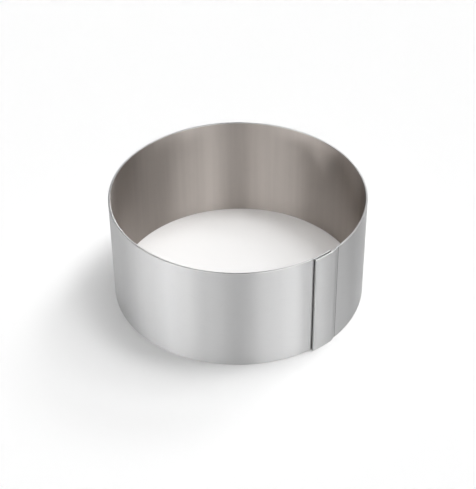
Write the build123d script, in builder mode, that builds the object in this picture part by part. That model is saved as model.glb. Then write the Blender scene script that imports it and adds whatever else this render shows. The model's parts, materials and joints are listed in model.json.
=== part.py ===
from build123d import *
import os
from math import atan2, degrees, sqrt

# A cake ring: one strip of stainless steel sheet, rolled into a circle. One end of the
# strip is joggled outwards and laps over the outside of the other end, and three welds
# in the lap hold the circle closed.
# The origin is on the ring's axis, in the plane that it stands on. +Z is up, and the lap
# lies to the right of the front, which faces -Y.
# Sizes are in millimetres and angles in degrees.

# The ring
INNER_DIAMETER = 100.0
HEIGHT = 45.0
SHEET = 0.8
RIM_ROUND = 0.2

# The lap, with its lengths measured along the ring
SEAM_ANGLE = -52.0
LAP_LENGTH = 8.2
LAP_GAP = 0.4
JOGGLE_RADIUS = 4.0
JOGGLE_CLEARANCE = 0.6

# The band springs out of the true circle on its way to the joggle
SPRING_OUT = 0.65
SPRING_LENGTH = 60.0

# The welds between the two laps, and the electrode's pits on the inside of the ring
WELD_NAMES = ("lower", "middle", "upper")
WELD_DIAMETER = 3.2
WELD_DEPTH = 0.4
WELD_MARGIN = 8.0
PIT_DIAMETER = 4.4
PIT_DEPTH = 0.1

os.makedirs("parts", exist_ok=True)

# The lap is drawn in a frame turned with it, whose X axis runs through its middle.
seam_plane = Plane.XY.rotated((0, 0, SEAM_ANGLE))

inner_radius = INNER_DIAMETER / 2
mid_radius = inner_radius + SHEET / 2
flap_radius = mid_radius + SHEET + LAP_GAP

half_lap = degrees(LAP_LENGTH / 2 / flap_radius)
joggle_start = half_lap + degrees(JOGGLE_CLEARANCE / flap_radius)
joggle_rise = flap_radius - mid_radius - SPRING_OUT
joggle_run = sqrt(joggle_rise * (4 * JOGGLE_RADIUS - joggle_rise))
joggle_foot = joggle_start + degrees(joggle_run / flap_radius)
spring_start = joggle_foot + degrees(SPRING_LENGTH / mid_radius)


def polar(radius: float, angle: float) -> Vector:
    """The point at a radius and an angle around the ring's axis."""
    return Vector(radius, 0).rotate(Axis.Z, angle)


def heading(start: Vector, end: Vector) -> float:
    """The angle of the line from one point to another, counted from the X axis."""
    return degrees(atan2(end.Y - start.Y, end.X - start.X))


def meeting_point(first: Vector, first_radius: float, second: Vector, second_radius: float) -> Vector:
    """The crossing of two circles that lies to the left of the line from first to second."""
    span = (second - first).length
    along = (span**2 + first_radius**2 - second_radius**2) / (2 * span)
    aside = sqrt(first_radius**2 - along**2)
    direction = (second - first).normalized()
    return first + direction * along + direction.rotate(Axis.Z, 90) * aside


# The springing stretch is an arc that leaves the circle tangentially at spring_start and
# passes the joggle's foot SPRING_OUT outside the circle.
spring_point = polar(mid_radius, spring_start)
foot_offset = polar(mid_radius + SPRING_OUT, joggle_foot) - spring_point
spring_radius = -foot_offset.dot(foot_offset) / (2 * foot_offset.dot(polar(1, spring_start)))
spring_centre = polar(mid_radius - spring_radius, spring_start)

# The joggle is two equal bends. The upper one is centred inside the ring and runs into
# the flap, and the lower one is centred outside it and runs into the springing stretch.
upper_centre = polar(flap_radius - JOGGLE_RADIUS, joggle_start)
lower_centre = meeting_point(
    spring_centre, spring_radius + JOGGLE_RADIUS, upper_centre, 2 * JOGGLE_RADIUS
)


def turn(start_angle: float, end_angle: float) -> float:
    """The clockwise turn from one angle to another, as a negative number."""
    return -((start_angle - end_angle) % 360)


def counter_turn(start_angle: float, end_angle: float) -> float:
    """The counterclockwise turn from one angle to another."""
    return (end_angle - start_angle) % 360


def draw_face(offset: float):
    """Draw one face of the strip, offset outwards from the middle of its thickness."""
    foot_heading = heading(spring_centre, lower_centre)
    lower_start = heading(lower_centre, spring_centre)
    lower_end = heading(lower_centre, upper_centre)
    upper_start = heading(upper_centre, lower_centre)
    CenterArc((0, 0), mid_radius + offset, half_lap, turn(half_lap, spring_start))
    CenterArc(spring_centre, spring_radius + offset, spring_start, turn(spring_start, foot_heading))
    CenterArc(lower_centre, JOGGLE_RADIUS - offset, lower_start, counter_turn(lower_start, lower_end))
    CenterArc(upper_centre, JOGGLE_RADIUS + offset, upper_start, turn(upper_start, joggle_start))
    CenterArc((0, 0), flap_radius + offset, joggle_start, turn(joggle_start, -half_lap))


def lap_plane(radius: float) -> Plane:
    """The plane that faces out of the ring at the middle of the lap, with its X axis up."""
    outwards = seam_plane.x_dir
    return Plane(origin=outwards * radius, x_dir=(0, 0, 1), z_dir=outwards)


weld_pitch = (HEIGHT - 2 * WELD_MARGIN) / (len(WELD_NAMES) - 1)
weld_places = [(WELD_MARGIN + row * weld_pitch, 0) for row in range(len(WELD_NAMES))]
weld_radius = mid_radius + SHEET / 2 - WELD_DEPTH
weld_length = LAP_GAP + 2 * WELD_DEPTH

with BuildPart() as ring_band:
    with BuildSketch(seam_plane):
        with BuildLine():
            draw_face(SHEET / 2)
            draw_face(-SHEET / 2)
            Line(polar(inner_radius, half_lap), polar(inner_radius + SHEET, half_lap))
            Line(polar(flap_radius - SHEET / 2, -half_lap), polar(flap_radius + SHEET / 2, -half_lap))
        make_face()
    extrude(amount=HEIGHT)
    rims = ring_band.edges().group_by(Axis.Z)
    fillet(rims[0] + rims[-1], RIM_ROUND)
    with BuildSketch(lap_plane(weld_radius)):
        with Locations(weld_places):
            Circle(WELD_DIAMETER / 2)
    extrude(amount=weld_length, mode=Mode.SUBTRACT)
    with BuildSketch(lap_plane(inner_radius + PIT_DEPTH)):
        with Locations(weld_places):
            Circle(PIT_DIAMETER / 2)
    extrude(amount=-SHEET, mode=Mode.SUBTRACT)
ring_band.part.label = "ring_band"
export_step(ring_band.part, "parts/ring_band.step")

for name, weld_place in zip(WELD_NAMES, weld_places):
    with BuildPart() as spot_weld:
        with BuildSketch(lap_plane(weld_radius)):
            with Locations(weld_place):
                Circle(WELD_DIAMETER / 2)
        extrude(amount=weld_length)
    spot_weld.part.label = "spot_weld_" + name
    export_step(spot_weld.part, "parts/spot_weld_" + name + ".step")
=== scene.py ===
"""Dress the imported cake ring: a round of brushed stainless steel strip with a welded lap seam.

The strip is spun round the same arcs as the CAD solid, in metres and in the same frame. The
origin is on the ring's axis, in the plane that it stands on, +Z is up and -Y is the front.
"""

import json
import logging
import math
from collections.abc import Iterator
from contextlib import contextmanager
from dataclasses import dataclass
from enum import Enum

import bpy
import numpy as np
from bpy.types import Material, Mesh, Node, NodeSocket, NodeTree, Object, bpy_prop_collection
from mathutils import Euler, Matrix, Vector


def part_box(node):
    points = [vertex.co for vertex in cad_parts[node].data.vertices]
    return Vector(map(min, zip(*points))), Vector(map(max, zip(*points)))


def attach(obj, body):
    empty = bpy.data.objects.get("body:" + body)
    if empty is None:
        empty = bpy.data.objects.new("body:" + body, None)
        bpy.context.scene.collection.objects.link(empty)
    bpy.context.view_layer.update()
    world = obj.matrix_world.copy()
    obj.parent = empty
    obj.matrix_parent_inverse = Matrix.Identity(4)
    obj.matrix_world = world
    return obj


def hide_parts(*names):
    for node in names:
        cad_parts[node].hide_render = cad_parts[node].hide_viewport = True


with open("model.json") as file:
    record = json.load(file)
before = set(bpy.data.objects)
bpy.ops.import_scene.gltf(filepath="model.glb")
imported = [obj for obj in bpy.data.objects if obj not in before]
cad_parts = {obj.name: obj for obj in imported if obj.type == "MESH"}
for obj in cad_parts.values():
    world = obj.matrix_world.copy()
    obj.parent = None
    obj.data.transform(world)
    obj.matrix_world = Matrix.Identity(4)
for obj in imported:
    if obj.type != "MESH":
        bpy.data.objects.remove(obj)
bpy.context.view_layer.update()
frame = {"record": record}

Colour = tuple[float, float, float, float]
LampRow = tuple[str, float, float, float, float]

MM = 0.001
STRIP_MAP = "strip"
GIRTH_LAYER = "girth"
SMOOTH_ANGLE = math.radians(40.0)
NOISE_RANGE = (0.3, 0.7)
WHITE: Colour = (1.0, 1.0, 1.0, 1.0)

log = logging.getLogger("cake_ring")


class Turn(Enum):
    """The way round in which an arc is spun, seen from above."""

    CLOCKWISE = "clockwise"
    COUNTERCLOCKWISE = "counterclockwise"


class Reach(Enum):
    """What a lamp works on: matt surfaces, or the metal that mirrors it."""

    MATT = "matt"
    MIRRORED = "mirrored"


class Side(Enum):
    """The places where a face of the strip can lie, each the number of its material."""

    SHEET_FACE = 0
    RIM = 1
    CUT_END = 2


# ---- Small helpers for modelling and for building materials ----


def deselect_all() -> None:
    """Leave object mode with nothing selected."""
    if bpy.context.object and bpy.context.object.mode != "OBJECT":
        bpy.ops.object.mode_set(mode="OBJECT")
    bpy.ops.object.select_all(action="DESELECT")


def activate(piece: Object) -> None:
    """Make one object the only selected and the active one."""
    deselect_all()
    piece.select_set(True)
    bpy.context.view_layer.objects.active = piece


def numbers_of(items: bpy_prop_collection, name: str, kind: type = np.int32) -> np.ndarray:
    """Read one number of each vertex, corner or face of a mesh.

    Args:
        items: The mesh's own list of them.
        name: The number's name in that list.
        kind: The kind of number.

    Returns:
        The numbers in the mesh's order.
    """
    numbers = np.empty(len(items), dtype=kind)
    items.foreach_get(name, numbers)
    return numbers


def vectors_of(items: bpy_prop_collection, name: str) -> np.ndarray:
    """Read one vector of each vertex or face of a mesh, one row each."""
    vectors = np.empty(3 * len(items), dtype=np.float32)
    items.foreach_get(name, vectors)
    return vectors.reshape(-1, 3).astype(float)


def places_of(mesh: Mesh) -> np.ndarray:
    """The places of a mesh's vertices, one row each."""
    return vectors_of(mesh.vertices, "co")


@contextmanager
def edited(piece: Object, chosen: np.ndarray | None = None) -> Iterator[None]:
    """Put a piece in edit mode for a while, with some or all of its vertices selected.

    Args:
        piece: The object whose mesh is worked on.
        chosen: Whether each vertex is selected, in the mesh's order, or None for all.

    Yields:
        Nothing, while the piece is in edit mode.
    """
    activate(piece)
    mesh = piece.data
    everything = np.ones(len(mesh.vertices), dtype=bool)
    mesh.edges.foreach_set("select", np.zeros(len(mesh.edges), dtype=bool))
    mesh.polygons.foreach_set("select", np.zeros(len(mesh.polygons), dtype=bool))
    mesh.vertices.foreach_set("select", everything if chosen is None else chosen)
    bpy.ops.object.mode_set(mode="EDIT")
    bpy.ops.mesh.select_mode(type="VERT")
    yield
    bpy.ops.object.mode_set(mode="OBJECT")


def apply_modifier(piece: Object, kind: str, **settings: object) -> None:
    """Add a modifier with its settings and apply it.

    Args:
        piece: The object that the modifier changes.
        kind: Blender's name for the kind of modifier.
        settings: The modifier's values by name.
    """
    activate(piece)
    bpy.ops.object.modifier_add(type=kind)
    modifier = piece.modifiers[-1]
    for name, value in settings.items():
        setattr(modifier, name, value)
    bpy.ops.object.modifier_apply(modifier=modifier.name)


class Nodes:
    """Adds nodes to one tree and links them, from left to right."""

    def __init__(self, tree: NodeTree) -> None:
        """Keep the tree that the nodes go into."""
        self.tree = tree

    def add(
        self, kind: str, inputs: dict[str | int, object] | None = None, **settings: object
    ) -> Node:
        """Add one node.

        Args:
            kind: The node's type without its ShaderNode prefix.
            inputs: A value or a socket to link for each named or numbered input.
            settings: The node's own options by name.

        Returns:
            The new node.
        """
        node = self.tree.nodes.new("ShaderNode" + kind)
        for name, value in settings.items():
            setattr(node, name, value)
        for name, value in (inputs or {}).items():
            self.feed(node.inputs[name], value)
        return node

    def feed(self, socket: NodeSocket, value: object) -> None:
        """Link a socket to another one, or set its plain value.

        Args:
            socket: The input that is fed.
            value: An output socket, a number, a vector or a colour.
        """
        if isinstance(value, NodeSocket):
            self.tree.links.new(value, socket)
        else:
            socket.default_value = value

    def math(
        self, operation: str, first: object, second: object = 0.0, third: object = 0.0
    ) -> NodeSocket:
        """Work out one number from up to three, with Blender's name for the sum."""
        return self.add("Math", {0: first, 1: second, 2: third}, operation=operation).outputs[0]

    def product(self, first: object, *others: object) -> NodeSocket:
        """Multiply numbers, from left to right."""
        for other in others:
            first = self.math("MULTIPLY", first, other)
        return first

    def vector(self, operation: str, first: object, second: object) -> NodeSocket:
        """Work out one vector from two, with Blender's name for the sum."""
        return self.add("VectorMath", {0: first, 1: second}, operation=operation).outputs[0]

    def split(self, vector: NodeSocket) -> tuple[NodeSocket, NodeSocket]:
        """Take the first two numbers out of a vector."""
        outputs = self.add("SeparateXYZ", {0: vector}).outputs
        return outputs[0], outputs[1]

    def noise(
        self, place: NodeSocket, scale: float = 1.0, detail: float = 3.0, roughness: float = 0.5
    ) -> NodeSocket:
        """Make a noise between 0 and 1.

        Args:
            place: The place at which it is read.
            scale: How many of its lumps fit in one unit of that place.
            detail: How many times finer lumps are added.
            roughness: How strong the finer lumps are.

        Returns:
            The noise's socket.
        """
        inputs = {"Vector": place, "Scale": scale, "Detail": detail, "Roughness": roughness}
        return self.add("TexNoise", inputs).outputs[0]

    def spread(
        self, value: object, low: float, high: float, to_low: float = 0.0, to_high: float = 1.0
    ) -> NodeSocket:
        """Turn one range of numbers smoothly into another, held at both ends.

        Args:
            value: The number or socket to turn.
            low: Where the range starts.
            high: Where the range ends.
            to_low: What the start becomes.
            to_high: What the end becomes.

        Returns:
            The result's socket.
        """
        inputs = {0: value, 1: low, 2: high, 3: to_low, 4: to_high}
        return self.add("MapRange", inputs, interpolation_type="SMOOTHSTEP").outputs[0]

    def between(self, mask: NodeSocket, at_none: float, at_full: float) -> NodeSocket:
        """Turn a mask into a number: one where the mask is 0, and another where it is 1."""
        return self.spread(mask, 0.0, 1.0, at_none, at_full)

    def blend(
        self, share: object, first: object, second: object, mode: str = "MIX"
    ) -> NodeSocket:
        """Blend two colours.

        Args:
            share: How much of the second colour is taken.
            first: The first colour or socket.
            second: The second colour or socket.
            mode: Blender's name for the way of blending.

        Returns:
            The blended colour's socket.
        """
        node = self.add("Mix", data_type="RGBA", blend_type=mode)
        for name, value in (("Factor_Float", share), ("A_Color", first), ("B_Color", second)):
            self.feed(next(one for one in node.inputs if one.identifier == name), value)
        return next(one for one in node.outputs if one.identifier == "Result_Color")

    def shade(self, colour: object, amount: NodeSocket) -> NodeSocket:
        """Darken a colour by a number from 0 to 1."""
        grey = self.add("CombineColor", {0: amount, 1: amount, 2: amount}).outputs[0]
        return self.blend(1.0, colour, grey, "MULTIPLY")

    def bump(self, height: NodeSocket, distance: float) -> NodeSocket:
        """Turn a height into a normal, with how far a height of 1 stands up."""
        inputs = {"Strength": 1.0, "Distance": distance, "Height": height}
        return self.add("Bump", inputs).outputs[0]


# ---- The strip's path, the same arcs as in the CAD source ----


def polar(radius: float, angle: float) -> Vector:
    """The point at a radius and an angle round the ring's axis."""
    return Vector((radius * math.cos(angle), radius * math.sin(angle), 0.0))


def heading(start: Vector, end: Vector) -> float:
    """The angle of the line from one point to another, counted from the X axis."""
    return math.atan2(end.y - start.y, end.x - start.x)


def meeting_point(
    first: Vector, first_radius: float, second: Vector, second_radius: float
) -> Vector:
    """Find where two circles cross, to the left of the line between their centres.

    Args:
        first: The first circle's centre.
        first_radius: The first circle's radius.
        second: The second circle's centre.
        second_radius: The second circle's radius.

    Returns:
        The crossing point.
    """
    span = (second - first).length
    along = (span**2 + first_radius**2 - second_radius**2) / (2 * span)
    aside = math.sqrt(first_radius**2 - along**2)
    direction = (second - first).normalized()
    left = Vector((-direction.y, direction.x, 0.0))
    return first + direction * along + left * aside


@dataclass(frozen=True)
class Arc:
    """One arc of the strip's path, spun about an upright axis."""

    centre: Vector
    start: float
    end: float
    turn: Turn
    length: float
    step: float

    @property
    def sweep(self) -> float:
        """The signed angle that the arc goes through."""
        if self.turn is Turn.CLOCKWISE:
            return -((self.start - self.end) % math.tau)
        return (self.end - self.start) % math.tau

    def spin(self) -> None:
        """Spin the faces selected in edit mode along this arc."""
        steps = max(1, round(self.length / self.step))
        downwards = (0.0, 0.0, -1.0)
        bpy.ops.mesh.spin(steps=steps, angle=self.sweep, center=self.centre, axis=downwards)


@dataclass(frozen=True)
class StripPath:
    """The line that the middle of the sheet follows, from its inner end to the flap's edge.

    The steps, the fine length and the lap's slack, a share of half the lap, are the mesh's
    own. The other sizes are those of the CAD source.
    """

    inner_radius: float
    height: float
    sheet: float = 0.8 * MM
    seam_angle: float = math.radians(-52.0)
    lap_length: float = 8.2 * MM
    lap_gap: float = 0.4 * MM
    joggle_radius: float = 4.0 * MM
    joggle_clearance: float = 0.6 * MM
    spring_out: float = 0.65 * MM
    spring_length: float = 60.0 * MM
    plain_step: float = 1.8 * MM
    fine_step: float = 0.3 * MM
    bend_step: float = 0.15 * MM
    fine_length: float = 9.0 * MM
    lap_slack: float = 0.2

    @classmethod
    def of_frame(cls) -> "StripPath":
        """Take the ring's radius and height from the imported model."""
        mounts = frame["record"]["mounts"]
        bore = next(mount for mount in mounts if mount["name"] == "inside_wall")
        low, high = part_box("ring_band")
        return cls(inner_radius=bore["dims"]["r_mm"] * MM, height=high[2] - low[2])

    @property
    def mid_radius(self) -> float:
        """The radius of the middle of the sheet on the true circle."""
        return self.inner_radius + self.sheet / 2

    @property
    def flap_radius(self) -> float:
        """The radius of the middle of the sheet in the flap."""
        return self.mid_radius + self.sheet + self.lap_gap

    @property
    def gap_radius(self) -> float:
        """The radius of the middle of the gap between the laps."""
        return self.inner_radius + self.sheet + self.lap_gap / 2

    @property
    def full_girth(self) -> float:
        """The whole way round the sheet: up one face, and down the other."""
        return 2 * (self.height + self.sheet)

    @property
    def half_lap(self) -> float:
        """Half of the lap, as an angle."""
        return self.lap_length / 2 / self.flap_radius

    @property
    def joggle_start(self) -> float:
        """Where the flap turns into the joggle, counted from the middle of the lap."""
        return self.half_lap + self.joggle_clearance / self.flap_radius

    @property
    def joggle_foot(self) -> float:
        """Where the joggle ends on the ring, counted from the middle of the lap."""
        rise = self.flap_radius - self.mid_radius - self.spring_out
        run = math.sqrt(rise * (4 * self.joggle_radius - rise))
        return self.joggle_start + run / self.flap_radius

    @property
    def spring_start(self) -> float:
        """Where the strip leaves the true circle, counted from the middle of the lap."""
        return self.joggle_foot + self.spring_length / self.mid_radius

    @property
    def foot_length(self) -> float:
        """How far along the strip the joggle's foot is from the strip's inner end."""
        return (self.half_lap + math.tau - self.joggle_foot) * self.mid_radius

    def at_seam(self, radius: float, angle: float = 0.0) -> Vector:
        """The point at a radius and at an angle counted from the middle of the lap."""
        return polar(radius, self.seam_angle + angle)

    def spring_circle(self) -> tuple[Vector, float]:
        """Find the arc on which the strip springs out of the true circle.

        Returns:
            The arc's centre and the radius of the middle of the sheet on it.
        """
        start = self.at_seam(self.mid_radius, self.spring_start)
        foot = self.at_seam(self.mid_radius + self.spring_out, self.joggle_foot) - start
        outwards = self.at_seam(1.0, self.spring_start)
        radius = -foot.dot(foot) / (2 * foot.dot(outwards))
        return self.at_seam(self.mid_radius - radius, self.spring_start), radius

    def arcs(self) -> Iterator[Arc]:
        """List the arcs in order.

        Yields:
            Each arc, from the strip's inner end to the flap's free edge.
        """
        axis = Vector((0.0, 0.0, 0.0))
        onwards, back = Turn.CLOCKWISE, Turn.COUNTERCLOCKWISE
        bend = self.joggle_radius
        spring_centre, spring_radius = self.spring_circle()
        upper = self.at_seam(self.flap_radius - bend, self.joggle_start)
        lower = meeting_point(spring_centre, spring_radius + bend, upper, 2 * bend)
        inner_end = self.seam_angle + self.half_lap
        fine_end = inner_end - self.fine_length / self.mid_radius
        spring_start = self.seam_angle + self.spring_start
        foot = heading(spring_centre, lower)
        fold = (heading(lower, spring_centre), heading(lower, upper))
        crest = (heading(upper, lower), self.seam_angle + self.joggle_start)
        flap_end = self.seam_angle - self.half_lap
        circle_length = (math.tau - self.spring_start + self.half_lap) * self.mid_radius
        plain_length = circle_length - self.fine_length
        fold_length = (fold[1] - fold[0]) % math.tau * bend
        crest_length = (crest[0] - crest[1]) % math.tau * bend
        flap_length = (self.joggle_start + self.half_lap) * self.flap_radius
        yield Arc(axis, inner_end, fine_end, onwards, self.fine_length, self.fine_step)
        yield Arc(axis, fine_end, spring_start, onwards, plain_length, self.plain_step)
        spring = (spring_centre, spring_start, foot)
        yield Arc(*spring, onwards, self.spring_length, self.plain_step)
        yield Arc(lower, *fold, back, fold_length, self.bend_step)
        yield Arc(upper, *crest, onwards, crest_length, self.bend_step)
        yield Arc(axis, crest[1], flap_end, onwards, flap_length, self.fine_step)

    def lengths_at(self, places: np.ndarray) -> np.ndarray:
        """Unroll places on the strip.

        Args:
            places: Points on or in the sheet, one row each.

        Returns:
            How far along the strip each place is from its inner end.
        """
        angles = np.arctan2(places[:, 1], places[:, 0]) - self.seam_angle
        angles = (angles + math.pi) % math.tau - math.pi
        on_inner_lap = np.hypot(places[:, 0], places[:, 1]) < self.gap_radius
        reach = (1 + self.lap_slack) * self.half_lap
        past_start = (angles > reach) | ((np.abs(angles) < reach) & ~on_inner_lap)
        return (self.half_lap + math.tau * past_start - angles) * self.mid_radius


# ---- Sub-assembly 1: the strip ----


@dataclass(frozen=True)
class RingBand:
    """The rolled strip: one sheet whose end is joggled out over the other end.

    The crease's skin is how far outside the middle of the sheet a vertex lies that it takes,
    and facing is how far a face's normal leans towards the side that the face belongs to.
    """

    path: StripPath
    weld_heights: tuple[float, ...]
    rows: int = 64
    rim_round: float = 0.2 * MM
    rim_segments: int = 3
    merge_distance: float = 0.0001 * MM
    pit_reach: float = 2.4 * MM
    pit_depth: float = 0.1 * MM
    crease_depth: float = 0.08 * MM
    crease_width: float = 0.3 * MM
    crease_skin: float = 0.24 * MM
    wave_height: float = 0.03 * MM
    wave_size: float = 28.0 * MM
    facing: float = 0.3
    normal_weight: int = 80

    def build(self, finishes: dict[Side, Material]) -> Object:
        """Make the strip and dress it.

        Args:
            finishes: The material for each side of the sheet.

        Returns:
            The finished piece, which replaces the CAD node.
        """
        band = self.draw_section()
        self.measure_girth(band.data)
        self.roll(band)
        self.press_pits(band)
        self.press_crease(band)
        self.unroll_map(band.data)
        self.add_waves(band)
        self.finish_faces(band, finishes)
        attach(band, "root")
        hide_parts("ring_band")
        return band

    def draw_section(self) -> Object:
        """Draw the cut through the sheet at its inner end, with its corners rounded.

        Returns:
            A flat upright grid, one face thick.
        """
        path = self.path
        angle = path.seam_angle + path.half_lap
        place = polar(path.mid_radius, angle) + Vector((0.0, 0.0, path.height / 2))
        deselect_all()
        bpy.ops.mesh.primitive_grid_add(
            x_subdivisions=1,
            y_subdivisions=self.rows,
            size=1.0,
            location=place,
            rotation=(math.pi / 2, 0.0, angle),
        )
        band = bpy.context.object
        band.name = band.data.name = "rolled_strip"
        band.scale = (path.sheet, path.height, 1.0)
        bpy.ops.object.transform_apply()
        from_middle = np.abs(places_of(band.data)[:, 2] - path.height / 2)
        with edited(band, from_middle > path.height / 2 - self.rim_round):
            bpy.ops.mesh.bevel(
                offset=self.rim_round, segments=self.rim_segments, affect="VERTICES"
            )
        return band

    def measure_girth(self, mesh: Mesh) -> None:
        """Give the section's vertices their way round the sheet, from the lower outer edge.

        Args:
            mesh: The section's mesh, before it is rolled.
        """
        path = self.path
        places = places_of(mesh)
        inwards = path.inner_radius + path.sheet - np.hypot(places[:, 0], places[:, 1])
        up = places[:, 2]
        outside = inwards < path.sheet / 2
        at_foot = up < self.rim_round / 2
        girth = np.where(outside, up + inwards, 2 * path.height + inwards - up)
        girth = np.where(~outside & at_foot, path.full_girth - inwards - up, girth)
        girth = np.where(outside & at_foot, path.full_girth - inwards + up, girth)
        mesh.attributes.new(GIRTH_LAYER, "FLOAT", "POINT").data.foreach_set("value", girth)

    def roll(self, band: Object) -> None:
        """Spin the section along the whole path.

        Args:
            band: The piece that holds the section.
        """
        with edited(band):
            bpy.ops.mesh.select_mode(type="FACE")
            for arc in self.path.arcs():
                arc.spin()
            bpy.ops.mesh.select_all(action="SELECT")
            bpy.ops.mesh.remove_doubles(threshold=self.merge_distance)
            bpy.ops.mesh.normals_make_consistent(inside=False)

    def press_pits(self, band: Object) -> None:
        """Press the electrode's shallow pits into the inside of the lap.

        Args:
            band: The rolled strip.
        """
        path = self.path
        for height in self.weld_heights:
            middle = path.at_seam(path.inner_radius) + Vector((0.0, 0.0, height))
            away = np.linalg.norm(places_of(band.data) - np.array(middle), axis=1)
            with edited(band, away == away.min()):
                bpy.ops.transform.translate(
                    value=path.at_seam(self.pit_depth),
                    use_proportional_edit=True,
                    use_proportional_connected=True,
                    proportional_edit_falloff="SMOOTH",
                    proportional_size=self.pit_reach,
                )

    def press_crease(self, band: Object) -> None:
        """Press the joggling tool's narrow mark into the outside, at the joggle's foot.

        Args:
            band: The rolled strip.
        """
        path = self.path
        skin = path.mid_radius + path.spring_out + self.crease_skin
        places = places_of(band.data)
        outside = np.hypot(places[:, 0], places[:, 1]) > skin
        near = np.abs(path.lengths_at(places) - path.foot_length) < self.crease_width / 2
        push = path.at_seam(-self.crease_depth, path.joggle_foot)
        with edited(band, outside & near):
            bpy.ops.transform.translate(value=push)

    def unroll_map(self, mesh: Mesh) -> None:
        """Lay out the strip flat: the map's U goes round the sheet and its V along the strip.

        Args:
            mesh: The rolled strip's mesh.
        """
        path = self.path
        corners = numbers_of(mesh.loops, "vertex_index")
        starts = numbers_of(mesh.polygons, "loop_start")
        sizes = numbers_of(mesh.polygons, "loop_total")
        girth = numbers_of(mesh.attributes[GIRTH_LAYER].data, "value", np.float32)[corners]
        near_end = np.maximum.reduceat(girth, starts) > path.full_girth - path.sheet
        wraps = np.repeat(near_end, sizes) & (girth < path.sheet)
        along = path.lengths_at(places_of(mesh))[corners]
        flat = np.stack([girth + path.full_girth * wraps, along], axis=1)
        layer = mesh.uv_layers.new(name=STRIP_MAP)
        layer.uv.foreach_set("vector", flat.astype(np.float32).ravel())

    def add_waves(self, band: Object) -> None:
        """Give the sheet the slight unevenness that rolling leaves.

        Args:
            band: The rolled strip.
        """
        waves = bpy.data.textures.new("rolling_waves", "CLOUDS")
        waves.noise_scale = self.wave_size
        waves.noise_depth = 1
        apply_modifier(
            band,
            "DISPLACE",
            texture=waves,
            texture_coords="LOCAL",
            strength=self.wave_height,
            mid_level=0.5,
            direction="NORMAL",
        )

    def sides_of(self, mesh: Mesh) -> np.ndarray:
        """Say what each face belongs to.

        Args:
            mesh: The rolled strip's mesh.

        Returns:
            For each face the number of the rims, the cut ends or the sheet's own two faces.
        """
        normals = vectors_of(mesh.polygons, "normal")
        outwards = vectors_of(mesh.polygons, "center")[:, :2]
        outwards /= np.linalg.norm(outwards, axis=1, keepdims=True)
        faces_out = np.abs((normals[:, :2] * outwards).sum(axis=1)) > self.facing
        faces_up = np.abs(normals[:, 2]) > self.facing
        sides = np.where(faces_out, Side.SHEET_FACE.value, Side.CUT_END.value)
        return np.where(faces_up, Side.RIM.value, sides).astype(np.int32)

    def finish_faces(self, band: Object, finishes: dict[Side, Material]) -> None:
        """Shade the strip and give its faces their materials.

        Args:
            band: The rolled strip.
            finishes: The material for each side of the sheet.
        """
        for side in Side:
            band.data.materials.append(finishes[side])
        band.data.polygons.foreach_set("material_index", self.sides_of(band.data))
        activate(band)
        bpy.ops.object.shade_smooth_by_angle(angle=SMOOTH_ANGLE)
        apply_modifier(band, "WEIGHTED_NORMAL", keep_sharp=True, weight=self.normal_weight)


# ---- Sub-assembly 2: the welds in the lap ----


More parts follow.
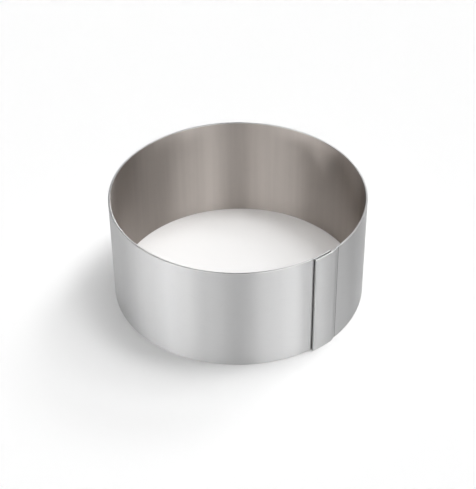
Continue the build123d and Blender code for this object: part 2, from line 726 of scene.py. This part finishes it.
@dataclass(frozen=True)
class SeamWelds:
    """Three buttons of fused metal between the two laps.

    The flare, the waist and the cap are the widths of a weld where it meets a lap, in the
    middle of the gap and at its two ends, as shares of its own.
    """

    path: StripPath
    heights: tuple[float, ...]
    names: tuple[str, ...] = ("lower", "middle", "upper")
    radius: float = 1.6 * MM
    depth: float = 0.4 * MM
    flare: float = 1.14
    waist: float = 0.93
    cap: float = 0.72
    edges: int = 48
    raggedness: float = 0.03 * MM

    @property
    def half_length(self) -> float:
        """Half the length of a weld, from the middle of the gap to its depth in a lap."""
        return self.path.lap_gap / 2 + self.depth

    def build(self, finish: Material) -> list[Object]:
        """Make one weld, then copy it to the other places.

        Args:
            finish: The material of fused metal.

        Returns:
            The three welds, from the lowest up.
        """
        first = self.make_button(finish)
        welds = []
        for number, (name, height) in enumerate(zip(self.names, self.heights)):
            weld = first.copy()
            weld.data = first.data.copy()
            bpy.context.scene.collection.objects.link(weld)
            weld.name = weld.data.name = "weld_button_" + name
            self.move_and_roughen(weld, height, number)
            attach(weld, "root")
            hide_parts("spot_weld_" + name)
            welds.append(weld)
        bpy.data.objects.remove(first)
        return welds

    def make_button(self, finish: Material) -> Object:
        """Make a weld at the foot of the seam, with a flare where it meets each lap.

        Args:
            finish: The material of fused metal.

        Returns:
            The weld that is copied.
        """
        gap = self.path.lap_gap
        outwards = self.path.at_seam(1.0)
        middle = self.path.at_seam(self.path.gap_radius)
        deselect_all()
        bpy.ops.mesh.primitive_cylinder_add(
            vertices=self.edges,
            radius=self.radius,
            depth=2 * self.half_length,
            location=middle,
            rotation=outwards.to_track_quat("Z", "Y").to_euler(),
        )
        weld = bpy.context.object
        bpy.ops.object.transform_apply()
        weld.data.materials.append(finish)
        for offset in (-gap / 2, -gap / 4, 0.0, gap / 4, gap / 2):
            with edited(weld):
                bpy.ops.mesh.bisect(plane_co=middle + outwards * offset, plane_no=outwards)
        for distance, growth in (
            (self.half_length, self.cap),
            (gap / 2, self.flare),
            (gap / 4, (self.flare + self.waist) / 2),
            (0.0, self.waist),
        ):
            along = np.abs((places_of(weld.data) - np.array(middle)) @ np.array(outwards))
            with edited(weld, np.abs(along - distance) < gap / 10):
                bpy.ops.transform.resize(value=(growth,) * 3, center_override=middle)
            self.keep_depths(weld, middle, outwards)
        with edited(weld):
            bpy.ops.mesh.normals_make_consistent(inside=False)
        return weld

    def keep_depths(self, weld: Object, middle: Vector, outwards: Vector) -> None:
        """Hold the weld's two ends at their depth in the laps after its rings are scaled.

        Args:
            weld: The weld being shaped.
            middle: The middle of the weld.
            outwards: The direction of the weld's axis.
        """
        for vertex in weld.data.vertices:
            along = (vertex.co - middle).dot(outwards)
            if abs(along) > self.path.lap_gap:
                vertex.co += outwards * (math.copysign(self.half_length, along) - along)

    def move_and_roughen(self, weld: Object, height: float, number: int) -> None:
        """Lift a weld to its height and make its outline uneven.

        Args:
            weld: The weld's own copy.
            height: How high the middle of the weld is.
            number: Which weld it is, used as the seed.
        """
        with edited(weld):
            bpy.ops.transform.translate(value=(0.0, 0.0, height))
            bpy.ops.transform.vertex_random(
                offset=self.raggedness, uniform=0.0, normal=0.5, seed=number + 1
            )
        bpy.ops.object.shade_smooth_by_angle(angle=SMOOTH_ANGLE)


# ---- Finishes ----


def new_group(
    name: str, numbers: dict[str, float], results: tuple[str, ...]
) -> tuple[Nodes, Node, Node]:
    """Start a shader node group that several finishes use.

    Args:
        name: What the group does.
        numbers: Each plain number that a finish sets, with its first value.
        results: The name of each height or mask that the group puts out.

    Returns:
        The group's nodes, its input node and its output node.
    """
    tree = bpy.data.node_groups.new(name, "ShaderNodeTree")
    tree.interface.new_socket("Place", in_out="INPUT", socket_type="NodeSocketVector")
    for label, value in numbers.items():
        socket = tree.interface.new_socket(label, in_out="INPUT", socket_type="NodeSocketFloat")
        socket.default_value = value
    for label in results:
        tree.interface.new_socket(label, in_out="OUTPUT", socket_type="NodeSocketFloat")
    return Nodes(tree), tree.nodes.new("NodeGroupInput"), tree.nodes.new("NodeGroupOutput")


def brushed_grain_group() -> NodeTree:
    """Make the brushing: fine lines along the strip, with longer, deeper ones between them.

    Returns:
        A group that takes places on the strip in millimetres, and puts out a height and a mask.
    """
    fine_roughness, fine_range = 0.65, (0.35, 0.65)
    wide_stretch, wide_detail, wide_share = (0.17, 0.4, 0.0), 2.0, 0.6
    nodes, source, target = new_group(
        "brushed grain", {"Lines per mm": 6.0, "Line length": 24.0}, ("Height", "Mask")
    )
    across, along = nodes.split(source.outputs["Place"])
    across = nodes.math("MULTIPLY", across, source.outputs["Lines per mm"])
    along = nodes.math("DIVIDE", along, source.outputs["Line length"])
    place = nodes.add("CombineXYZ", {0: across, 1: along}).outputs[0]
    fine = nodes.noise(place, roughness=fine_roughness)
    wide = nodes.noise(nodes.vector("MULTIPLY", place, wide_stretch), detail=wide_detail)
    height = nodes.math("MULTIPLY_ADD", wide, wide_share, fine)
    nodes.feed(target.inputs["Height"], height)
    nodes.feed(target.inputs["Mask"], nodes.spread(fine, *fine_range))
    return nodes.tree


def rolling_streak_group() -> NodeTree:
    """Make the faint upright streaks that rolling leaves across the strip.

    Returns:
        A group that takes places on the strip in millimetres, and puts out a mask.
    """
    slice_height, roughness = 3.7, 0.6
    nodes, source, target = new_group(
        "rolling streaks", {"Streak width": 2.0, "Streak length": 60.0}, ("Mask",)
    )
    across, along = nodes.split(source.outputs["Place"])
    across = nodes.math("DIVIDE", across, source.outputs["Streak length"])
    along = nodes.math("DIVIDE", along, source.outputs["Streak width"])
    place = nodes.add("CombineXYZ", {0: across, 1: along, 2: slice_height}).outputs[0]
    noise = nodes.noise(place, roughness=roughness)
    nodes.feed(target.inputs["Mask"], nodes.spread(noise, *NOISE_RANGE))
    return nodes.tree


def handling_marks_group() -> NodeTree:
    """Make the few hairline scratches and specks that handling leaves.

    Returns:
        A group that takes places on the strip in millimetres, and puts out a mask.
    """
    turns_and_shifts = ((0.35, 11.0), (-0.9, 47.0))
    hair_stretch, hair_range, hair_strength = (5.0, 0.12, 1.0), (0.74, 0.8), 0.7
    speck_range = (0.008, 0.018)
    nodes, source, target = new_group("handling marks", {"Spacing": 9.0}, ("Mask",))
    place = source.outputs["Place"]
    cells = nodes.vector("DIVIDE", place, source.outputs["Spacing"])
    dots = nodes.add("TexVoronoi", {"Vector": cells, "Scale": 1.0, "Randomness": 1.0})
    found = nodes.spread(dots.outputs["Distance"], *speck_range, 1.0, 0.0)
    for turn, shift in turns_and_shifts:
        inputs = {"Vector": place, "Angle": turn}
        turned = nodes.add("VectorRotate", inputs, rotation_type="Z_AXIS").outputs[0]
        stretched = nodes.vector("MULTIPLY", turned, hair_stretch)
        moved = nodes.vector("ADD", stretched, (shift, shift, shift))
        hairs = nodes.spread(nodes.noise(moved, detail=0.0), *hair_range, 0.0, hair_strength)
        found = nodes.math("MAXIMUM", hairs, found)
    nodes.feed(target.inputs["Mask"], found)
    return nodes.tree


@dataclass(frozen=True)
class StripGroups:
    """The node groups that the steel finishes share."""

    grain: NodeTree
    streaks: NodeTree
    marks: NodeTree

    @classmethod
    def make(cls) -> "StripGroups":
        """Build each group once."""
        return cls(brushed_grain_group(), rolling_streak_group(), handling_marks_group())


def new_metal(name: str) -> tuple[Material, Nodes, Node]:
    """Start a material of bare metal with one Principled shader.

    Args:
        name: The finish's name.

    Returns:
        The material, its nodes and its shader.
    """
    material = bpy.data.materials.new(name)
    material.use_nodes = True
    shader = material.node_tree.nodes["Principled BSDF"]
    shader.inputs["Metallic"].default_value = 1.0
    return material, Nodes(material.node_tree), shader


def dress(nodes: Nodes, node: Node, **inputs: object) -> None:
    """Feed a node's inputs by name, with an underscore for each space in a name."""
    for name, value in inputs.items():
        nodes.feed(node.inputs[name.replace("_", " ")], value)


def strip_place(nodes: Nodes) -> NodeSocket:
    """The place on the unrolled strip in millimetres: round the sheet, and along it."""
    flat = nodes.add("UVMap", uv_map=STRIP_MAP).outputs[0]
    return nodes.add("VectorMath", {0: flat, "Scale": 1 / MM}, operation="SCALE").outputs[0]


def brush_along_strip(nodes: Nodes, shader: Node, anisotropy: float) -> None:
    """Brush a metal along the strip, which stretches the light across it."""
    tangent = nodes.add("Tangent", direction_type="UV_MAP", uv_map=STRIP_MAP).outputs[0]
    dress(nodes, shader, Anisotropic=anisotropy, Tangent=tangent)


def place_group(
    nodes: Nodes, tree: NodeTree, place: NodeSocket, **values: float
) -> bpy_prop_collection:
    """Put a shared group into a material.

    Args:
        nodes: The material's nodes.
        tree: The group.
        place: The socket with the place on the strip.
        values: The group's other inputs, with an underscore for each space in a name.

    Returns:
        The group's outputs by name.
    """
    node = nodes.add("Group", node_tree=tree)
    dress(nodes, node, Place=place, **values)
    return node.outputs


@dataclass(frozen=True)
class BrushedSteel:
    """The two faces of the sheet: satin steel, brushed along the strip.

    Where a mask is full, its share of a colour is blended in, its shade multiplies the colour
    and its roughness is added to the sheet's. The depth of a mark is a share of the grain's.
    """

    path: StripPath
    weld_heights: tuple[float, ...]
    colour: Colour = (0.72, 0.72, 0.722, 1.0)
    # painted shade: the inner face's darker, warmer colour stands in for the shade and warm
    # bounced light inside the ring
    shaded_inside_colour: Colour = (0.617, 0.567, 0.53, 1.0)
    worn_colour: Colour = (0.8, 0.8, 0.79, 1.0)
    straw: Colour = (0.6, 0.49, 0.33, 1.0)
    worn_share: float = 0.6
    straw_share: float = 0.55
    straw_in_pit: float = 0.35
    anisotropy: float = 1.0
    roughness: float = 0.48
    grain_roughness: float = 0.04
    worn_roughness: float = -0.08
    mark_roughness: float = 0.04
    pit_roughness: float = 0.06
    grain_depth: float = 0.004 * MM
    mark_depth: float = -0.8
    outside_streaks: float = 0.012
    inside_streaks: float = 0.045
    grain_shade: float = 0.985
    mark_shade: float = 0.95
    # painted shade: darkens the colour in a thin line at the joggle's foot, for the crease's
    # dark reflection
    fold_painted_shade: float = 0.2
    fold_core: float = 0.068 * MM
    fold_edge: float = 0.204 * MM
    wear_core: float = 0.1 * MM
    wear_edge: float = 0.5 * MM
    wear_gaps: float = 0.5
    pit_core: float = 2.0 * MM
    pit_edge: float = 2.3 * MM
    straw_core: float = 2.2 * MM
    straw_edge: float = 4.2 * MM

    def make(self, groups: StripGroups) -> Material:
        """Build the material.

        Args:
            groups: The shared node groups.

        Returns:
            The finished material.
        """
        material, nodes, shader = new_metal("brushed_steel")
        place = strip_place(nodes)
        grain = place_group(nodes, groups.grain, place, Lines_per_mm=5.0, Line_length=30.0)
        streaks = place_group(
            nodes, groups.streaks, place, Streak_width=2.6, Streak_length=70.0
        )["Mask"]
        scratches = place_group(nodes, groups.marks, place, Spacing=9.0)["Mask"]
        girth, along = nodes.split(place)
        height, sheet = self.path.height / MM, self.path.sheet / MM
        inside = nodes.spread(girth, height, height + sheet)
        wear = self.wear_mask(nodes, girth, grain["Mask"])
        halo, pit = self.weld_masks(nodes, place)
        fold = self.painted_fold_shade_mask(nodes, along, inside)

        # painted shade: the inner face takes the darker, warmer copy of the steel's colour
        colour = nodes.blend(inside, self.colour, self.shaded_inside_colour)
        colour = nodes.blend(nodes.product(halo, self.straw_share), colour, self.straw)
        colour = nodes.blend(nodes.product(wear, self.worn_share), colour, self.worn_colour)
        depth = nodes.between(inside, self.outside_streaks, self.inside_streaks)
        shade = nodes.product(
            nodes.math("SUBTRACT", 1.0, nodes.product(depth, streaks)),
            nodes.between(grain["Mask"], self.grain_shade, 1.0),
            nodes.between(scratches, 1.0, self.mark_shade),
            # painted shade along the crease at the joggle's foot
            nodes.between(fold, 1.0, self.fold_painted_shade),
        )
        rough: object = self.roughness
        for mask, change in (
            (grain["Mask"], self.grain_roughness),
            (wear, self.worn_roughness),
            (scratches, self.mark_roughness),
            (pit, self.pit_roughness),
        ):
            rough = nodes.math("MULTIPLY_ADD", mask, change, rough)
        relief = nodes.math("MULTIPLY_ADD", scratches, self.mark_depth, grain["Height"])
        relief = nodes.bump(relief, self.grain_depth)
        colour = nodes.shade(colour, shade)
        dress(nodes, shader, Base_Color=colour, Roughness=rough, Normal=relief)
        brush_along_strip(nodes, shader, self.anisotropy)
        return material

    def wear_mask(self, nodes: Nodes, girth: NodeSocket, grain: NodeSocket) -> NodeSocket:
        """Find where hands and trays have rubbed the sheet bright, along both rims.

        Args:
            nodes: The material's nodes.
            girth: The distance round the sheet, in millimetres.
            grain: The brushing's mask, which breaks the wear up.

        Returns:
            The mask's socket, 1 at a rim.
        """
        height, sheet = self.path.height / MM, self.path.sheet / MM
        from_top = nodes.math("ABSOLUTE", nodes.math("SUBTRACT", girth, height + sheet / 2))
        from_top = nodes.math("SUBTRACT", from_top, sheet / 2)
        from_bottom = nodes.math("SUBTRACT", height, from_top)
        nearest = nodes.math("MINIMUM", from_top, from_bottom)
        near = nodes.spread(nearest, self.wear_core / MM, self.wear_edge / MM, 1.0, 0.0)
        return nodes.product(near, nodes.between(grain, self.wear_gaps, 1.0))

    def painted_fold_shade_mask(self, nodes: Nodes, along: NodeSocket, inside: NodeSocket) -> NodeSocket:
        """Find the painted shade line across the outside at the joggle's foot, which stands in
        for the crease's dark reflection.

        Args:
            nodes: The material's nodes.
            along: The distance along the strip, in millimetres.
            inside: The mask of the sheet's inner face.

        Returns:
            The mask's socket, 1 in the line.
        """
        foot = self.path.foot_length / MM
        away = nodes.math("ABSOLUTE", nodes.math("SUBTRACT", along, foot))
        line = nodes.spread(away, self.fold_core / MM, self.fold_edge / MM, 1.0, 0.0)
        return nodes.product(line, nodes.math("SUBTRACT", 1.0, inside))

    def weld_masks(self, nodes: Nodes, place: NodeSocket) -> tuple[NodeSocket, NodeSocket]:
        """Find the heat tint and the pit round each weld, on the inside of the lap.

        Args:
            nodes: The material's nodes.
            place: The place on the strip, in millimetres.

        Returns:
            The tint's mask and the pit's mask.
        """
        path = self.path
        along = path.half_lap * path.mid_radius / MM
        nearest: object = path.height / MM
        for height in self.weld_heights:
            girth = (2 * path.height + path.sheet - height) / MM
            inputs = {0: place, 1: (girth, along, 0.0)}
            away = nodes.add("VectorMath", inputs, operation="DISTANCE").outputs["Value"]
            nearest = nodes.math("MINIMUM", away, nearest)
        pit = nodes.spread(nearest, self.pit_core / MM, self.pit_edge / MM, 1.0, 0.0)
        halo = nodes.spread(nearest, self.straw_core / MM, self.straw_edge / MM, 1.0, 0.0)
        return nodes.product(halo, nodes.between(pit, 1.0, self.straw_in_pit)), pit


@dataclass(frozen=True)
class DeburredRim:
    """The two rims: the strip's slit edges, rubbed smooth."""

    colour: Colour = (0.82, 0.82, 0.82, 1.0)
    roughness: tuple[float, float] = (0.33, 0.42)
    anisotropy: float = 0.9
    grain_shade: float = 0.92
    mark_shade: float = 0.85
    grain_depth: float = 0.003 * MM

    def make(self, groups: StripGroups) -> Material:
        """Build the material.

        Args:
            groups: The shared node groups.

        Returns:
            The finished material.
        """
        material, nodes, shader = new_metal("deburred_rim")
        place = strip_place(nodes)
        grain = place_group(nodes, groups.grain, place, Lines_per_mm=14.0, Line_length=6.0)
        scratches = place_group(nodes, groups.marks, place, Spacing=3.0)["Mask"]
        shade = nodes.product(
            nodes.between(grain["Mask"], self.grain_shade, 1.0),
            nodes.between(scratches, 1.0, self.mark_shade),
        )
        colour = nodes.shade(self.colour, shade)
        rough = nodes.between(grain["Mask"], *self.roughness)
        relief = nodes.bump(grain["Height"], self.grain_depth)
        dress(nodes, shader, Base_Color=colour, Roughness=rough, Normal=relief)
        brush_along_strip(nodes, shader, self.anisotropy)
        return material


@dataclass(frozen=True)
class ShearedEdge:
    """The strip's two cut ends: rough steel left by the shear, darkened partly as painted shade
    for the occluded corner beside the band.
    """

    # partly painted shade: both colours are darker than the sheet's, for the occlusion at the
    # flap's free edge as well as the rough cut
    colour: Colour = (0.6, 0.6, 0.6, 1.0)
    rough_and_shaded_colour: Colour = (0.42, 0.42, 0.42, 1.0)
    roughness: tuple[float, float] = (0.45, 0.65)
    lumps: float = 2500.0
    relief: float = 0.02 * MM

    def make(self) -> Material:
        """Build the material.

        Returns:
            The finished material.
        """
        material, nodes, shader = new_metal("sheared_edge")
        noise = nodes.noise(nodes.add("TexCoord").outputs["Object"], self.lumps)
        colour = nodes.blend(noise, self.rough_and_shaded_colour, self.colour)
        rough = nodes.spread(noise, *NOISE_RANGE, *self.roughness)
        relief = nodes.bump(noise, self.relief)
        dress(nodes, shader, Base_Color=colour, Roughness=rough, Normal=relief)
        return material


@dataclass(frozen=True)
class FusedMetal:
    """The welds: metal that melted and set again, with a straw to blue heat tint."""

    colour: Colour = (0.52, 0.5, 0.47, 1.0)
    straw: Colour = (0.5, 0.38, 0.22, 1.0)
    blue: Colour = (0.24, 0.27, 0.36, 1.0)
    straw_range: tuple[float, float] = (0.42, 0.56)
    blue_range: tuple[float, float] = (0.54, 0.68)
    straw_share: float = 0.6
    blue_share: float = 0.7
    roughness: tuple[float, float] = (0.32, 0.52)
    lumps: float = 900.0
    ripples: float = 3500.0
    relief: float = 0.02 * MM

    def make(self) -> Material:
        """Build the material.

        Returns:
            The finished material.
        """
        material, nodes, shader = new_metal("fused_metal")
        place = nodes.add("TexCoord").outputs["Object"]
        noise = nodes.noise(place, self.lumps, detail=4.0)
        straw = nodes.spread(noise, *self.straw_range, 0.0, self.straw_share)
        blue = nodes.spread(noise, *self.blue_range, 0.0, self.blue_share)
        tint = nodes.blend(blue, nodes.blend(straw, self.colour, self.straw), self.blue)
        rough = nodes.spread(noise, *NOISE_RANGE, *self.roughness)
        relief = nodes.bump(nodes.noise(place, self.ripples, detail=2.0), self.relief)
        dress(nodes, shader, Base_Color=tint, Roughness=rough, Normal=relief)
        return material


# ---- The studio and the camera ----


@dataclass(frozen=True)
class Floor:
    """A plain white floor that keeps the ring's shadow."""

    size: float = 6.0
    whiteness: float = 0.95
    lift: float = 0.05

    def build(self) -> None:
        deselect_all()
        bpy.ops.mesh.primitive_plane_add(size=self.size, location=(0.0, 0.0, 0.0))
        floor = bpy.context.object
        floor.name = "studio_floor"
        floor.data.materials.append(self.surface())

    def surface(self) -> Material:
        """Make the floor's matt white, lifted to white where a camera or the metal sees it.

        Returns:
            The floor's material.
        """
        material = bpy.data.materials.new("studio_white")
        material.use_nodes = True
        material.node_tree.nodes.clear()
        nodes = Nodes(material.node_tree)
        matt = nodes.add("BsdfDiffuse", {"Color": (self.whiteness,) * 3 + (1.0,)})
        glow = nodes.add("Emission", {"Color": WHITE})
        rays = nodes.add("LightPath").outputs
        seen = nodes.math("MAXIMUM", rays["Is Camera Ray"], rays["Is Glossy Ray"])
        seen = nodes.math("MAXIMUM", seen, rays["Is Transmission Ray"])
        nodes.feed(glow.inputs["Strength"], nodes.product(seen, self.lift))
        both = nodes.add("AddShader", {0: matt.outputs[0], 1: glow.outputs[0]})
        nodes.add("OutputMaterial", {"Surface": both.outputs[0]})
        return material


@dataclass(frozen=True)
class SoftLamp:
    """A wide, far and soft lamp, placed by its direction from the ring.

    The azimuth counts from the front towards +X, and the spread is how wide the lamp looks
    from the ring. Both, and the elevation, are in degrees.
    """

    name: str
    azimuth: float
    elevation: float
    strength: float
    spread: float
    reach: Reach

    def build(self) -> None:
        """Hang the lamp and aim it at the ring."""
        turn, lift = math.radians(self.azimuth), math.radians(self.elevation)
        aside, ahead = math.sin(turn) * math.cos(lift), math.cos(turn) * math.cos(lift)
        away = Vector((aside, -ahead, math.sin(lift)))
        light = bpy.data.lights.new(self.name, "SUN")
        light.angle = math.radians(self.spread)
        light.energy = self.strength
        lamp = bpy.data.objects.new(self.name, light)
        bpy.context.scene.collection.objects.link(lamp)
        lamp.rotation_euler = away.to_track_quat("Z", "Y").to_euler()
        lamp.visible_diffuse = self.reach is Reach.MATT
        lamp.visible_glossy = self.reach is Reach.MIRRORED


@dataclass(frozen=True)
class Studio:
    """A white floor under matt lamps that make its shadow, and panels that the metal mirrors.

    A row gives a lamp's name, azimuth, elevation, strength and spread. The low panels stand
    just under the horizon and light the walls less and less from the rim down. Each is given
    by its azimuth and strength.
    """

    floor: Floor = Floor()
    sky: float = 0.1
    matt_lamps: tuple[LampRow, ...] = (
        ("key_lamp", 120.0, 56.0, 0.564, 16.0),
        ("fill_lamp", 0.0, 90.0, 0.908, 30.0),
        ("side_lamp", 100.0, 70.0, 0.887, 16.0),
        ("back_lamp", 140.0, 40.0, 0.575, 16.0),
        ("rear_lamp", 165.0, 70.0, 0.22, 16.0),
    )
    panels: tuple[LampRow, ...] = (
        ("back_panel", 165.0, 1.0, 1.8, 30.0),
        ("back_left_panel", -120.0, 1.0, 0.2, 30.0),
        ("back_right_panel", 142.0, 58.0, 0.28, 20.0),
        ("rim_panel", 157.0, 38.0, 0.27, 36.0),
        ("front_panel", 0.0, 24.0, 0.195, 40.0),
        ("narrow_left_panel", -24.0, 30.0, 0.035, 12.0),
        ("narrow_right_panel", 24.0, 30.0, 0.11, 12.0),
        ("upper_left_panel", -40.0, 44.0, 0.79, 44.0),
        ("upper_right_panel", 40.0, 44.0, 0.81, 44.0),
        ("left_panel", -75.0, 1.0, 0.67, 22.0),
        ("right_panel", 80.0, 6.0, 0.28, 40.0),
    )
    low_panels: tuple[tuple[float, float], ...] = (
        (-100.0, 0.144),
        (-90.0, 0.27),
        (-60.0, 0.6),
        (-50.0, 0.35),
        (-40.0, 0.29),
        (35.0, 0.18),
        (45.0, 0.41),
        (65.0, 0.35),
    )
    low_elevation: float = -1.0
    low_spread: float = 12.0

    def low_rows(self) -> list[LampRow]:
        """Write out the low panels as rows.

        Returns:
            A row for each low panel, named by its number.
        """
        return [
            (f"low_panel_{number}", azimuth, self.low_elevation, strength, self.low_spread)
            for number, (azimuth, strength) in enumerate(self.low_panels, start=1)
        ]

    def build(self) -> None:
        """Lay the floor, hang the lamps and set the world."""
        self.floor.build()
        for row in self.matt_lamps:
            SoftLamp(*row, Reach.MATT).build()
        for row in (*self.panels, *self.low_rows()):
            SoftLamp(*row, Reach.MIRRORED).build()
        world = bpy.data.worlds.new("studio_world")
        bpy.context.scene.world = world
        world.use_nodes = True
        background = world.node_tree.nodes["Background"]
        background.inputs["Color"].default_value = WHITE
        background.inputs["Strength"].default_value = self.sky
        bpy.context.scene.view_settings.view_transform = "Standard"


@dataclass(frozen=True)
class PhotoCamera:
    """The camera, at the photograph's viewing angle.

    Its focal length is in pixels of the photograph and its angles are in radians.
    """

    frame_height: float = 489.0
    focal_length: float = 1326.6
    sensor: float = 36.0
    distance: float = 548.6 * MM
    elevation: float = math.radians(39.497)
    pitch: float = 0.02725
    roll: float = math.radians(-0.571)
    yaw: float = -0.0004

    def build(self) -> None:
        """Place the camera and make it the scene's own."""
        data = bpy.data.cameras.new("photo_camera")
        data.sensor_fit = "AUTO"
        data.sensor_width = self.sensor
        data.lens = self.focal_length / self.frame_height * self.sensor
        camera = bpy.data.objects.new("photo_camera", data)
        bpy.context.scene.collection.objects.link(camera)
        away = Vector((0.0, -math.cos(self.elevation), math.sin(self.elevation)))
        camera.location = away * self.distance
        aim = Euler((math.pi / 2 - self.elevation, 0.0, 0.0)).to_matrix()
        tilt = Euler((self.pitch, -self.yaw, self.roll), "XYZ").to_matrix()
        camera.rotation_euler = (aim @ tilt).to_euler()
        bpy.context.scene.camera = camera


def weld_heights() -> tuple[float, ...]:
    """The heights of the welds' middles, from the lowest up."""
    boxes = [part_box("spot_weld_" + name) for name in SeamWelds.names]
    return tuple((low[2] + high[2]) / 2 for low, high in boxes)


def main() -> None:
    """Build the camera, the studio and every piece, in order."""
    logging.basicConfig(level=logging.INFO, format="%(name)s: %(message)s")
    PhotoCamera().build()
    Studio().build()
    path = StripPath.of_frame()
    heights = weld_heights()
    groups = StripGroups.make()
    finishes = {
        Side.SHEET_FACE: BrushedSteel(path, heights).make(groups),
        Side.RIM: DeburredRim().make(groups),
        Side.CUT_END: ShearedEdge().make(),
    }
    band = RingBand(path, heights).build(finishes)
    log.info("%s has %d faces", band.name, len(band.data.polygons))
    for weld in SeamWelds(path, heights).build(FusedMetal().make()):
        log.info("%s has %d faces", weld.name, len(weld.data.polygons))


if __name__ == "__main__":
    main()
